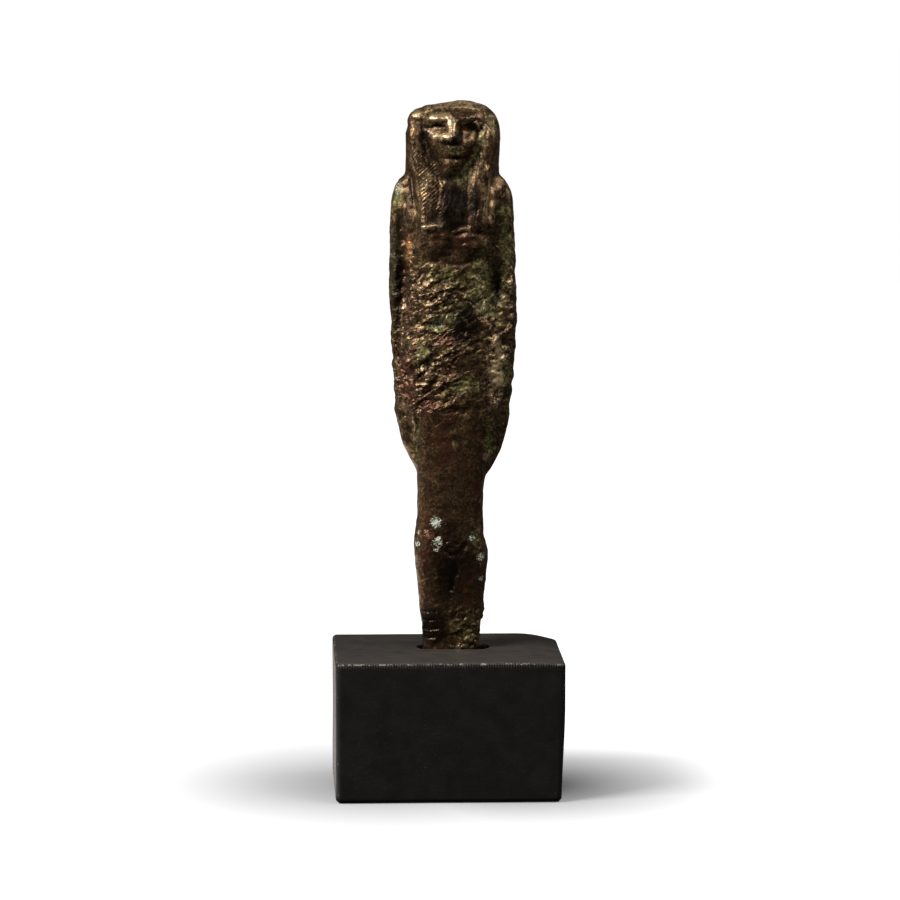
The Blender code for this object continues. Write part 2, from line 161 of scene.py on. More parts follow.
# The softened parts: how many times they are smoothed, the chest as across, height and its radii, and
# the face as its middle and half its width at each height.
SOFTENING = 60
SOFTENED_CHEST = (0.4, 74.2, 8.0, 5.2)
FACE_MIDDLE = 0.5
FACE_HALF = ((86.5, 1.5), (91.0, 3.9), (96.0, 5.0), (98.0, 4.6))
FACE_FROM = (86.5, 88.0)
FACE_TO = (97.8, 98.6)

# The wig: its left corner, raised, as across, height, reach and how far, and its lappets' edges as the
# distance from the middle at each height. All that lies further back than WIG_BACK is its back.
WIG_CORNER = (-6.3, 97.5, 1.5, 0.40)
WIG_BACK = -1.5
LAPPET_INNER = ((77.5, 2.3), (82.0, 1.8), (86.0, 2.0), (91.0, 4.4), (96.0, 5.8), (98.0, 0.0))
LAPPET_OUTER = ((77.5, 6.0), (86.0, 7.0), (90.0, 8.6), (97.0, 8.2))

# Its hair: how far apart and how deep the strands are, how far they stray, and over what distance they
# stray and break off. On the back they are spaced out on a circle round an upright axis at this y.
STRAND_PITCH = 0.85
STRAND_DEEP = 0.05
HAIR_WANDER = 0.5
HAIR_WANDER_OVER = 1.4
HAIR_BREAKS_OVER = 1.1
HAIR_FROM_LAPPETS = (77.6, 78.2)
HAIR_FROM_BEHIND = (78.6, 79.4)
HAIR_TO = (97.0, 98.6)
FAN_AXIS = -8.0
FAN_RADIUS = 12.0

# The slanting strokes on its left lappet: where they are, and their pitch and depth, in millimetres
# because they are fine relief of the material.
STROKES_INNER = (1.4, 2.0)
STROKES_OUTER = ((77.5, 5.6), (86.0, 6.8), (90.0, 8.0), (97.0, 7.8))
STROKES_FROM = (78.0, 80.0)
STROKES_TO = (89.5, 93.0)
STROKE_PITCH = 0.60
STROKE_DEEP = 0.06
STROKE_SLOPE = math.radians(42)

# How rough the corroded skin is at each height: flakes, lumps, pits.
ROUGHNESS = (
    (0.0, 0.08, 0.12, 0.12),
    (5.0, 0.03, 0.06, 0.06),
    (8.0, 0.04, 0.08, 0.08),
    (17.0, 0.05, 0.12, 0.14),
    (19.0, 0.08, 0.24, 0.14),
    (24.0, 0.04, 0.08, 0.12),
    (30.0, 0.03, 0.05, 0.07),
    (41.0, 0.06, 0.06, 0.08),
    (46.0, 0.26, 0.10, 0.12),
    (54.0, 0.30, 0.12, 0.12),
    (66.0, 0.26, 0.14, 0.15),
    (70.0, 0.12, 0.12, 0.10),
    (74.0, 0.06, 0.10, 0.10),
    (80.0, 0.04, 0.07, 0.07),
    (86.0, 0.03, 0.06, 0.05),
    (97.0, 0.02, 0.06, 0.06),
    (100.0, 0.04, 0.10, 0.08),
)

# Large and small flakes: length, height and share. They rise to the right, and there are fewer on the
# right of the figure. FLAKE_EDGE is where in their noise a flake begins and where it is full.
FLAKES = ((6.6, 2.5, 1.1), (2.6, 1.0, 0.6))
FLAKE_SLOPE = math.radians(24)
FLAKE_EDGE = (0.06, 0.15)
FLAKE_SWAY = 0.8
FLAKE_SWAY_OVER = 3.5
FLAKY_LEFT = (-3.0, 1.0)

# Lumps, pits, the size of the rougher and smoother patches, and the lumpy right half of the foot.
LUMP = 1.5
PIT_SPACING = 1.7
PIT_REACH = 0.38
PATCHY_OVER = 7.0
RIGHT_OF_FOOT = (-1.5, 1.0)
LUMPY_FOOT_TO = (6.5, 9.0)
FOOT_FLAKES = 0.16
FOOT_LUMPS = 0.28


def working_copy(node, name):
    """A copy of a frame node with its loose triangles joined up."""
    obj = bpy.data.objects.new(name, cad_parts[node].data.copy())
    bpy.context.scene.collection.objects.link(obj)
    bm = bmesh.new()
    bm.from_mesh(obj.data)
    bmesh.ops.remove_doubles(bm, verts=bm.verts, dist=1e-6)
    bm.to_mesh(obj.data)
    bm.free()
    obj.data.materials.clear()
    return obj


def settle(obj):
    """Puts the result of an object's modifiers into its mesh."""
    bpy.context.view_layer.update()
    graph = bpy.context.evaluated_depsgraph_get()
    made = bpy.data.meshes.new_from_object(obj.evaluated_get(graph))
    obj.modifiers.clear()
    obj.data = made
    made.name = obj.name


def fine_skin(obj, voxel, smoothing):
    """Turns an object into an even fine skin that can be worked."""
    skin = obj.modifiers.new("skin", "REMESH")
    skin.mode = "VOXEL"
    skin.voxel_size = voxel
    smooth = obj.modifiers.new("smooth", "SMOOTH")
    smooth.factor = 0.5
    smooth.iterations = smoothing
    settle(obj)


def thinned(obj, most):
    """Takes faces out of the flatter parts until the object has this many triangles."""
    triangles = sum(len(face.vertices) - 2 for face in obj.data.polygons)
    thin = obj.modifiers.new("thin", "DECIMATE")
    thin.ratio = min(1.0, most / triangles)
    settle(obj)


def vectors(items, what):
    """One vector of each vertex or face corner as rows of an array."""
    flat = np.empty(len(items) * 3)
    items.foreach_get(what, flat)
    return flat.reshape(-1, 3)


foot = np.array([v.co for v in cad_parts["figure"].data.vertices if v.co.z < PLINTH_TOP])
foot_middle = Vector((foot.min(axis=0) + foot.max(axis=0)) / 2)
foot_middle.z = PLINTH_TOP
figure_axis = foot_middle - Matrix.Rotation(FIGURE_TURN, 3, "Z") @ Vector((FOOT_RIGHT_OF_AXIS, 0, 0))
unturn = np.array(Matrix.Rotation(-FIGURE_TURN, 3, "Z"))
percent = FIGURE_HEIGHT / 100


def in_percent(points):
    """Places measured from the foot of the figure's axis, in percent of its height."""
    return (points - np.array(figure_axis)) @ unturn.T / percent


def falloff(reach):
    """1 in the middle of a mark and 0 from its edge outwards."""
    return np.clip(1 - reach**2, 0, 1) ** 2


def off_line(x, z, points):
    """How far places on the front are from a line through points."""
    nearest = np.full(len(x), np.inf)
    for (x0, z0), (x1, z1) in zip(points, points[1:]):
        dx, dz = x1 - x0, z1 - z0
        along = np.clip(((x - x0) * dx + (z - z0) * dz) / (dx * dx + dz * dz), 0, 1)
        nearest = np.minimum(nearest, np.hypot(x - x0 - along * dx, z - z0 - along * dz))
    return nearest


def tool_marks(x, z):
    """How deep the front is pressed in."""
    deep = np.zeros(len(x))
    for at_x, at_z, wide, tall, by in DABS.values():
        near = (abs(x - at_x) < wide) & (abs(z - at_z) < tall)
        deep[near] += by * falloff(np.hypot((x[near] - at_x) / wide, (z[near] - at_z) / tall))
    for width, by, points in LINES.values():
        low, high = np.min(points, axis=0) - width, np.max(points, axis=0) + width
        near = (x > low[0]) & (x < high[0]) & (z > low[1]) & (z < high[1])
        deep[near] += by * falloff(off_line(x[near], z[near], points) / width)
    return deep


def ramp(value, start, end):
    """Rises smoothly from 0 at start to 1 at end."""
    t = np.clip((value - start) / (end - start), 0, 1)
    return t * t * (3 - 2 * t)


def by_height(z, rows, column=1):
    """A value at each height from a table whose rows begin with a height."""
    heights, values = zip(*[(row[0], row[column]) for row in rows])
    return np.interp(z, heights, values)


def noise_of(field, points):
    """One noise value for each point."""
    return np.array([field(Vector(point)) for point in points])


def hair(place, facing):
    """How deep the strands of the wig are cut."""
    x, y, z = place.T
    stray = noise_of(lambda p: noise.noise(p / HAIR_WANDER_OVER), place)
    breaks = noise_of(lambda p: noise.noise(p / HAIR_BREAKS_OVER + Vector((5, 2, 8))), place)
    broken = ramp(breaks, -0.35, 0.25)
    outer = by_height(z, LAPPET_OUTER)
    inner = by_height(z, LAPPET_INNER)
    front = (facing < 0) & (y < WIG_BACK)
    lappet = ramp(abs(x), inner, inner + 0.4) * (1 - ramp(abs(x), outer - 0.3, outer + 0.1)) * front
    lappet *= ramp(z, *HAIR_FROM_LAPPETS)
    behind = (facing > -0.3) & (y > WIG_BACK)
    wig = np.where(behind, ramp(z, *HAIR_FROM_BEHIND), lappet) * (1 - ramp(z, *HAIR_TO))
    around = np.where(behind, np.arctan2(x, y - FAN_AXIS) * FAN_RADIUS, x) + HAIR_WANDER * stray
    strands = STRAND_DEEP * (1 - np.cos(2 * np.pi * around / STRAND_PITCH)) * (0.4 + 0.6 * broken)
    return wig * strands * (1 - 0.6 * hatched(place, facing))


def hatched(place, facing):
    """1 where the wig is cut with slanting strokes, on its left lappet."""
    x, _, z = place.T
    outer = by_height(z, STROKES_OUTER)
    across = ramp(-x, *STROKES_INNER) * (1 - ramp(-x, outer - 0.5, outer))
    return (facing < 0.1) * across * ramp(z, *STROKES_FROM) * (1 - ramp(z, *STROKES_TO))


def corrosion(place, facing):
    """How far the corroded skin stands out."""
    x, y, z = place.T
    ahead = 0.3 + 0.7 * ramp(-facing, 0.2, 0.75)
    flaky, lumps, pits = (by_height(z, ROUGHNESS, column) for column in (1, 2, 3))
    sway = noise_of(lambda p: noise.noise(p / FLAKE_SWAY_OVER), place)
    along = x * math.cos(FLAKE_SLOPE) + z * math.sin(FLAKE_SLOPE)
    across = z * math.cos(FLAKE_SLOPE) - x * math.sin(FLAKE_SLOPE) + FLAKE_SWAY * sway
    plates = np.zeros(len(x))
    for long, high, share in FLAKES:
        stretched = np.stack((along / long, y / high, across / high), axis=1)
        plate = noise_of(lambda p: noise.fractal(p, 0.9, 2.1, 3), stretched)
        plates += share * (ramp(plate, *FLAKE_EDGE) + 0.3 * plate)
    lumpy = noise_of(lambda p: noise.fractal(p / LUMP, 0.9, 2.1, 4), place)
    pitted = noise_of(lambda p: noise.voronoi(p / PIT_SPACING)[0][0], place)
    patchy = 0.65 + 0.9 * noise_of(lambda p: noise.noise(p / PATCHY_OVER + Vector((3, 1, 4))), place)
    right_foot = ramp(x, *RIGHT_OF_FOOT) * (1 - ramp(z, *LUMPY_FOOT_TO))
    on_left = 0.5 + 0.5 * ramp(-x, *FLAKY_LEFT)
    out = (flaky * patchy * on_left * ahead + FOOT_FLAKES * right_foot) * plates
    out += (lumps * (0.4 + 0.6 * ahead) + FOOT_LUMPS * right_foot) * lumpy
    return out - pits * falloff(pitted / PIT_REACH)


def smoothed(values, edges, times):
    """Rows of values drawn again and again to the mean of their neighbours along the edges."""
    count = np.bincount(edges.ravel(), minlength=len(values))[:, None]
    for _ in range(times):
        total = [
            np.bincount(edges[:, 0], values[edges[:, 1], k], len(values))
            + np.bincount(edges[:, 1], values[edges[:, 0], k], len(values))
            for k in range(values.shape[1])
        ]
        values = 0.5 * values + 0.5 * np.stack(total, axis=1) / count
    return values


def edge_ends(mesh):
    """The two vertices of each edge."""
    flat = np.empty(len(mesh.edges) * 2, np.int64)
    mesh.edges.foreach_get("vertices", flat)
    return flat.reshape(-1, 2)


def on_face(place, facing):
    """1 on the lioness's face, fading to 0 where the wig frames it."""
    x, _, z = place.T
    half = by_height(z, FACE_HALF)
    height = ramp(z, *FACE_FROM) * (1 - ramp(z, *FACE_TO))
    return (facing < 0) * height * (1 - ramp(abs(x - FACE_MIDDLE), half, half + 0.8))


figure = working_copy("figure", "cast_figure")
fine_skin(figure, SKIN_VOXEL, SKIN_SMOOTHING)

# The face and the chest are softened first, so that their marks lie on smooth ground.
points = vectors(figure.data.vertices, "co")
normals = vectors(figure.data.vertex_normals, "vector")
facing = (normals @ unturn.T)[:, 1]
place = in_percent(points)
at_x, at_z, wide, tall = SOFTENED_CHEST
on_chest = falloff(np.hypot((place[:, 0] - at_x) / wide, (place[:, 2] - at_z) / tall))
on_chest = (facing < 0) * np.minimum(2.5 * on_chest, 1)
soft = smoothed(points, edge_ends(figure.data), SOFTENING) - points
points += soft * np.maximum(on_face(place, facing), on_chest)[:, None]
figure.data.vertices.foreach_set("co", points.ravel())
figure.data.update()

# Then come the marks on the front, the hair and the corrosion, all of them above the plinth.
normals = vectors(figure.data.vertex_normals, "vector")
place = in_percent(points)
facing = (normals @ unturn.T)[:, 1]
above = ramp(place[:, 2], *WORKED_FROM)
noise.seed_set(WANDER_SEED)
sway = noise_of(lambda p: noise.noise_vector(p / WANDER_OVER), place) * WANDER
steady = ramp(place[:, 2], *STEADY_HEAD) + 1 - ramp(place[:, 2], *STEADY_FOOT)
sway *= (1 - STEADIER * steady)[:, None]
uneven = 1 + UNEVEN * noise_of(lambda p: noise.noise(p / WANDER_OVER + Vector((9, 4, 2))), place)
pressed = tool_marks(place[:, 0] + sway[:, 0], place[:, 2] + sway[:, 2]) * uneven
into = ((pressed * np.clip(-2 * facing, 0, 1))[:, None] * np.array((0, 1, 0))) @ unturn
out = corrosion(place, facing) - hair(place, facing)
at_x, at_z, reach, by = WIG_CORNER
out += by * falloff(np.hypot(place[:, 0] - at_x, place[:, 2] - at_z) / reach)
points += (into + normals * out[:, None]) * above[:, None] * percent
figure.data.vertices.foreach_set("co", points.ravel())
figure.data.update()
thinned(figure, MOST_TRIANGLES)
figure.data.shade_smooth()

# How its colours lie on the front: what kind, then patches as across, height, their radii, how strongly.
PATINA = {
    # Rubbed metal, and painted highlights too: the lit left planes of the face, the right temple, the
    # lappets' ends and rims, the ridge on the right lappet and the strip inside the left arm.
    "worn_and_highlight": {
        "left side of the wig": (-6.2, 90.8, 1.6, 7.0, 0.15),
        "left brow": (-1.7, 97.3, 2.6, 1.0, 1.3),
        "bridge of the nose": (0.0, 95.9, 0.9, 2.0, 1.3),
        "left side of the nose": (-0.7, 94.0, 0.9, 1.1, 1.2),
        "left cheek": (-2.1, 93.8, 2.2, 1.3, 0.85),
        "under the left eye": (-2.2, 94.7, 1.9, 0.7, 0.9),
        "rim of the right lappet, high": (5.2, 92.4, 0.9, 2.0, 0.40),
        "rim of the right lappet": (3.7, 89.5, 1.0, 2.0, 0.40),
        "rim of the right lappet, low": (2.3, 87.2, 1.3, 1.4, 0.40),
        "crown": (1.5, 99.2, 6.5, 1.3, 0.72),
        "left corner of the crown": (-5.8, 97.8, 1.4, 1.0, 0.85),
        "right temple": (4.9, 95.4, 0.5, 0.8, 1.2),
        "strip inside the left arm": (-7.3, 73.5, 1.0, 4.6, 0.58),
        "left lappet": (-4.2, 86.5, 2.2, 5.5, 0.38),
        "edge of the left lappet": (-2.0, 81.8, 0.5, 2.2, 0.9),
        "ridge on the right lappet": (7.1, 82.2, 1.5, 6.8, 1.0),
        "rim of the left lappet": (-2.7, 87.8, 0.9, 2.6, 0.55),
        "end of the left lappet": (-3.4, 77.5, 2.2, 0.6, 1.3),
        "end of the right lappet": (2.3, 76.9, 1.8, 0.7, 1.3),
        "flakes on the left of the belly": (-4.5, 64.0, 4.0, 6.0, 0.17),
        "right arm": (10.8, 68.0, 0.8, 9.0, 0.40),
        "flakes on the left hip": (-4.0, 50.0, 3.5, 3.6, 0.25),
        "left side of the body": (-8.8, 60.0, 0.5, 7.5, 0.70),
        "left hand": (-6.8, 39.5, 0.7, 5.0, 0.50),
        "right hand": (6.6, 35.4, 1.0, 2.2, 1.0),
        "waist": (5.4, 66.5, 2.2, 6.0, 0.50),
        "right hip": (8.0, 51.5, 2.2, 8.5, 1.15),
        "foot": (2.0, 1.8, 3.4, 2.4, 0.26),
    },
    "green": {
        "right ear": (7.4, 95.6, 1.8, 3.6, 0.45),
        "muzzle": (0.6, 91.5, 2.4, 1.0, 0.8),
        "right of the nose": (1.2, 94.0, 0.8, 1.4, 0.6),
        "rim of the right lappet, high": (5.6, 93.4, 0.9, 1.8, 0.9),
        "rim of the right lappet": (4.4, 90.8, 1.0, 1.8, 1.0),
        "rim of the right lappet, low": (3.0, 88.3, 1.1, 1.6, 1.0),
        "right of the chin": (2.0, 86.6, 2.0, 1.8, 0.9),
        "chest": (1.4, 80.5, 1.8, 3.6, 0.6),
        "left shoulder": (-9.8, 82.5, 1.2, 3.5, 0.9),
        "left arm": (-10.3, 70.0, 1.3, 12.0, 0.6),
        "waist": (5.8, 66.5, 3.2, 7.0, 1.0),
        "right arm": (10.0, 73.0, 2.0, 13.0, 0.55),
        "hollow inside the right arm": (8.7, 66.5, 1.8, 6.0, 0.7),
        "over the belly": (-0.5, 68.0, 5.0, 2.6, 0.5),
        "middle of the belly": (1.0, 62.0, 3.6, 4.6, 0.5),
        "left hip": (-4.8, 54.0, 2.4, 3.2, 0.5),
        "flakes on the right hip": (2.6, 48.6, 4.4, 2.0, 0.6),
        "pit in the belly": (-2.7, 59.7, 2.3, 1.4, 1.0),
        "right hip": (9.0, 51.5, 1.9, 6.5, 1.0),
        "spot on the thigh": (0.7, 38.2, 0.7, 0.7, 0.9),
        "right thigh": (7.0, 39.5, 1.3, 4.5, 0.7),
        "left hand": (-6.2, 38.0, 0.6, 4.5, 0.7),
        "right knee": (4.2, 20.5, 1.3, 3.0, 0.5),
        "foot": (2.6, 3.2, 3.4, 3.8, 0.5),
    },
    "red": {
        "under the lappets": (0.6, 74.8, 5.6, 2.4, 1.0),
        "right of the chest": (4.2, 80.0, 1.8, 4.5, 0.6),
        "inside the left arm": (-8.7, 68.0, 0.9, 9.0, 0.8),
        "left flank": (-8.0, 50.0, 2.4, 7.0, 1.0),
        "belly": (1.0, 54.2, 3.0, 2.2, 0.8),
        "hip": (-3.6, 45.5, 3.0, 2.2, 0.8),
        "right hip": (7.8, 44.5, 2.0, 2.4, 0.7),
        "thighs": (-1.0, 38.0, 6.5, 9.0, 0.75),
        "thigh under the right hand": (4.6, 30.0, 1.8, 2.4, 0.9),
        "middle of the belly": (-1.0, 57.0, 2.6, 2.4, 0.7),
        "left shin": (-4.2, 20.0, 2.6, 9.0, 0.9),
        "right shin": (2.6, 12.5, 3.2, 7.0, 0.9),
    },
    "orange": {
        "strip inside the left arm": (-7.5, 73.4, 0.9, 4.8, 0.9),
        "left side of the wig": (-6.5, 94.4, 0.7, 3.2, 0.60),
        "right cheek": (2.5, 94.9, 0.9, 1.5, 0.80),
        "right side of the wig": (6.9, 90.0, 1.4, 5.0, 0.52),
        "ridge on the right lappet": (7.1, 82.0, 1.0, 5.0, 0.60),
        "shin": (2.7, 11.0, 1.1, 0.9, 0.8),
    },
    # Dark patina, and painted shade too: in the eyes, beside and under the nose, in the mouth, under the
    # lip and chin, at the edges of the face and wig, beside the lappets, under the breasts and in the
    # hollow inside the right arm.
    "dark_and_shade": {
        "left eye": (-2.3, 95.6, 1.3, 0.7, 1.1),
        "right eye": (4.0, 95.6, 1.6, 1.1, 0.75),
        "left edge of the wig": (-7.4, 93.5, 0.9, 4.5, 0.60),
        "left shoulder": (-8.0, 83.0, 1.6, 5.0, 0.30),
        "right of the nose": (1.4, 93.8, 1.5, 1.5, 0.9),
        "left of the face": (-4.6, 93.2, 1.5, 3.4, 0.85),
        "right side of the wig": (6.4, 90.5, 2.2, 5.0, 0.45),
        "under the nose": (-0.1, 92.8, 2.5, 0.9, 1.0),
        "mouth": (0.6, 90.1, 2.6, 0.50, 0.70),
        "lower lip": (0.2, 88.9, 2.4, 0.9, 0.35),
        "chin": (-0.6, 86.6, 1.6, 1.4, 0.6),
        "beside the left lappet": (-6.9, 83.5, 0.6, 4.5, 0.6),
        "chest": (0.6, 81.0, 3.6, 5.4, 1.3),
        "inside the right lappet": (4.2, 81.5, 1.5, 5.0, 1.0),
        "left arm": (-9.8, 68.0, 1.6, 14.0, 0.8),
        "under the breasts": (0.8, 74.0, 4.8, 1.2, 0.5),
        "hollow inside the right arm": (8.4, 65.5, 1.2, 5.0, 0.7),
        "belly": (2.6, 60.0, 4.0, 6.0, 0.85),
        "legs": (0.0, 15.0, 7.0, 13.0, 0.72),
        "foot": (-3.4, 4.0, 4.2, 5.5, 1.0),
    },
    "pale": {
        "above the left knee": (-2.8, 23.4, 1.2, 1.2, 1.0),
        "left knee": (-2.5, 19.8, 1.1, 1.0, 0.9),
        "under the left knee": (-2.7, 18.5, 0.6, 0.35, 1.0),
        "side of the left knee": (-6.1, 19.3, 0.6, 0.6, 0.8),
        "side of the left thigh": (-5.8, 21.4, 0.5, 0.4, 0.6),
        "right knee": (3.9, 20.6, 0.7, 0.6, 0.7),
        "under the right knee": (5.4, 17.0, 0.8, 0.9, 0.8),
        "right shin": (5.3, 15.7, 0.35, 0.35, 0.7),
        "low on the right shin": (5.4, 13.0, 0.5, 0.6, 0.7),
        "left of the left knee": (-6.3, 25.3, 0.4, 0.5, 0.5),
        # The pale at the pit's lower lip is partly a painted highlight.
        "pit in the belly": (-2.7, 59.8, 1.7, 0.8, 0.55),
        "left shoulder": (-9.4, 84.0, 0.9, 1.4, 0.35),
    },
}
# A patch fades out at its radii divided by this.
PATCH_FADE = 0.8

# How far the skin stands out of its surroundings: in how many steps these are smoothed, and how far
# counts as 1.
RISE_OVER = 24
RISE_FULL = 0.12

# The streaks of the wig begin between these heights.
STREAKY_FROM = (76.5, 79.0)


def keep_value(obj, name, values):
    """Stores one number for each vertex, for the material to read."""
    held = obj.data.attributes.new(name, "FLOAT", "POINT")
    held.data.foreach_set("value", values.astype(np.float32))


points = vectors(figure.data.vertices, "co")
normals = vectors(figure.data.vertex_normals, "vector")
place = in_percent(points)
facing = (normals @ unturn.T)[:, 1]
around = smoothed(points, edge_ends(figure.data), RISE_OVER)
rise = np.einsum("ij,ij->i", points - around, normals) / percent / RISE_FULL
keep_value(figure, "rise", np.clip(rise, -1, 1))
streaky = ramp(place[:, 2], *STREAKY_FROM) * (1 - on_face(place, facing))
keep_value(figure, "streaky", streaky)
flaky = by_height(place[:, 2], ROUGHNESS)
keep_value(figure, "flaky", flaky * (0.4 + 0.6 * ramp(-place[:, 0], *FLAKY_LEFT)))
keep_value(figure, "hatched", hatched(place, facing))
on_front = 1 - ramp(facing, -0.2, 0.25)
for kind, patches in PATINA.items():
    amount = np.zeros(len(points))
    for at_x, at_z, wide, tall, by in patches.values():
        reach = np.hypot((place[:, 0] - at_x) / wide, (place[:, 2] - at_z) / tall)
        amount = np.maximum(amount, by * falloff(reach * PATCH_FADE))
    keep_value(figure, kind, amount * on_front)


class Value:
    """A number running through a finish's nodes. Sums written with it add Math nodes."""

    def __init__(self, finish, socket):
        self.finish = finish
        self.socket = socket

    def math(self, operation, *values):
        return self.finish.node("ShaderNodeMath", {"operation": operation}, dict(enumerate(values)))

    def __add__(self, other):
        return self.math("ADD", self, other)

    def __radd__(self, other):
        return self.math("ADD", other, self)

    def __sub__(self, other):
        return self.math("SUBTRACT", self, other)

    def __rsub__(self, other):
        return self.math("SUBTRACT", other, self)

    def __mul__(self, other):
        return self.math("MULTIPLY", self, other)

    def __rmul__(self, other):
        return self.math("MULTIPLY", other, self)

    def rising(self, start, end):
        """0 up to start, 1 from end on, and smooth between them."""
        limits = {"Value": self, "From Min": start, "From Max": end}
        return self.finish.node("ShaderNodeMapRange", {"interpolation_type": "SMOOTHSTEP"}, limits)


# A wave texture of scale 1 draws this many bands in one unit.
BANDS_PER_UNIT = 3.18

# The sockets of a Mix node for colours: its share, its two colours and its result.
MIX_SHARE = 0
MIX_UNDER = 6
MIX_OVER = 7
MIX_RESULT = 2


class Finish:
    """A surface's material, built from nodes."""

    def __init__(self, name):
        self.material = bpy.data.materials.new(name)
        self.material.use_nodes = True
        self.tree = self.material.node_tree
        self.shader = self.tree.nodes["Principled BSDF"]
        metres = self.node("ShaderNodeTexCoord", out="Object")
        to_millimetres = {"Vector": metres, "Scale": (1000, 1000, 1000)}
        self.millimetres = self.node("ShaderNodeMapping", {}, to_millimetres)

    def node(self, kind, settings=None, sockets=None, out=0):
        """A node of any kind: its settings first, then the values or links of its sockets."""
        made = self.tree.nodes.new(kind)
        for name, value in (settings or {}).items():
            setattr(made, name, value)
        for key, value in (sockets or {}).items():
            if isinstance(value, Value):
                self.tree.links.new(value.socket, made.inputs[key])
            else:
                made.inputs[key].default_value = value
        return Value(self, made.outputs[out])

    def cloud(self, size, detail=3.0, roughness=0.55, stretch=(1, 1, 1), slope=0.0):
        """Cloudy noise from about 0 to 1 whose lumps are this many millimetres across. Seen from the
        front, the stretch of its lumps rises to the right by the slope."""
        placed = self.node(
            "ShaderNodeMapping",
            {"vector_type": "TEXTURE"},
            {"Vector": self.millimetres, "Rotation": (0, -slope, 0), "Scale": [size * s for s in stretch]},
        )
        sockets = {"Vector": placed, "Scale": 1.0, "Detail": detail, "Roughness": roughness}
        return self.node("ShaderNodeTexNoise", {"noise_dimensions": "3D"}, sockets)

    def bands(self, pitch, distortion, slope=0.0):
        """Upright bands from 0 to 1, this many millimetres apart, that lean over by the slope."""
        placed = self.node(
            "ShaderNodeMapping",
            {"vector_type": "TEXTURE"},
            {"Vector": self.millimetres, "Rotation": (0, -slope, 0), "Scale": [pitch * BANDS_PER_UNIT] * 3},
        )
        sockets = {"Vector": placed, "Scale": 1.0, "Distortion": distortion, "Detail": 1.0}
        return self.node("ShaderNodeTexWave", {"bands_direction": "X"}, sockets, out="Fac")

    def kept(self, name):
        """The number stored at each vertex under this name."""
        return self.node("ShaderNodeAttribute", {"attribute_name": name}, out="Fac")

    def blend(self, share, under, over):
        """The under colour with a share of the over colour on it."""
        sockets = {MIX_SHARE: share}
        for key, colour in ((MIX_UNDER, under), (MIX_OVER, over)):
            sockets[key] = colour if isinstance(colour, Value) else (*colour, 1.0)
        return self.node("ShaderNodeMix", {"data_type": "RGBA"}, sockets, out=MIX_RESULT)

    def bumps(self, height, reach, below=None):
        """Fine relief of this many millimetres, over other relief below it."""
        sockets = {"Height": height, "Distance": reach / 1000, "Strength": 1.0}
        if below:
            sockets["Normal"] = below
        return self.node("ShaderNodeBump", {}, sockets)

    def put(self, **sockets):
        """Sets or links the shader's own sockets, with _ for a space in their names."""
        for name, value in sockets.items():
            socket = self.shader.inputs[name.replace("_", " ")]
            if isinstance(value, Value):
                self.tree.links.new(value.socket, socket)
            else:
                socket.default_value = value


DARK_BROWN = (0.056, 0.032, 0.017)
MID_BROWN = (0.220, 0.126, 0.054)
OLIVE = (0.300, 0.245, 0.080)
DEEP_GREEN = (0.046, 0.050, 0.018)
CUPRITE = (0.092, 0.026, 0.014)
RUST = (0.45, 0.18, 0.045)
WORN_BRONZE_AND_HIGHLIGHT = (0.68, 0.47, 0.25)
MINERAL = (0.56, 0.59, 0.47)
BLACK_BROWN_AND_SHADE = (0.015, 0.010, 0.007)

bronze = Finish("corroded_bronze")

# What the colours go by: high and low spots, clouds of several sizes, and streaks down the wig.
high = bronze.kept("rise").rising(0.10, 0.85)
low = 1 - bronze.kept("rise").rising(-1.0, -0.1)
broad = bronze.cloud(6.0, 4.0)
patch = bronze.cloud(2.2, 4.0, 0.6)
grain = bronze.cloud(0.55, 3.0, 0.6)
dust = bronze.cloud(0.22, 2.0, 0.5)
streaks = (bronze.cloud(0.7, 3.0, 0.6, stretch=(1.0, 1.0, 5.0)) - 0.5) * bronze.kept("streaky")
mottle = 0.55 * patch + 0.40 * grain + 0.60 * (dust - 0.5) + 0.03 + streaks

# Two browns, then green, red and orange corrosion, and black where the patina is darkest and as painted
# shade in the eyes, mouth, hollows and beside the nose.
brown = bronze.blend(mottle.rising(0.40, 0.70), DARK_BROWN, MID_BROWN)
green_at = (bronze.kept("green") * 0.8 + (broad - 0.42) * 0.9 + (patch - 0.5) * 1.6).rising(0.15, 0.60)
green = bronze.blend((grain + 0.6 * (dust - 0.5) + streaks).rising(0.38, 0.68), DEEP_GREEN, OLIVE)
body = bronze.blend(green_at * 0.85, brown, green)
red_cloud = bronze.cloud(3.1, 4.0, 0.62)
red_at = (bronze.kept("red") * 0.7 + (red_cloud - 0.5) * 2.4).rising(0.20, 0.60)
body = bronze.blend(red_at * (1 - green_at) * 0.65, body, CUPRITE)
body = bronze.blend((bronze.kept("orange") + (grain - 0.5)).rising(0.35, 1.0), body, RUST)
dark_and_shade_at = (bronze.kept("dark_and_shade") + (patch - 0.5) * 0.8).rising(0.05, 0.95) * 0.92
body = bronze.blend(dark_and_shade_at, body, BLACK_BROWN_AND_SHADE)

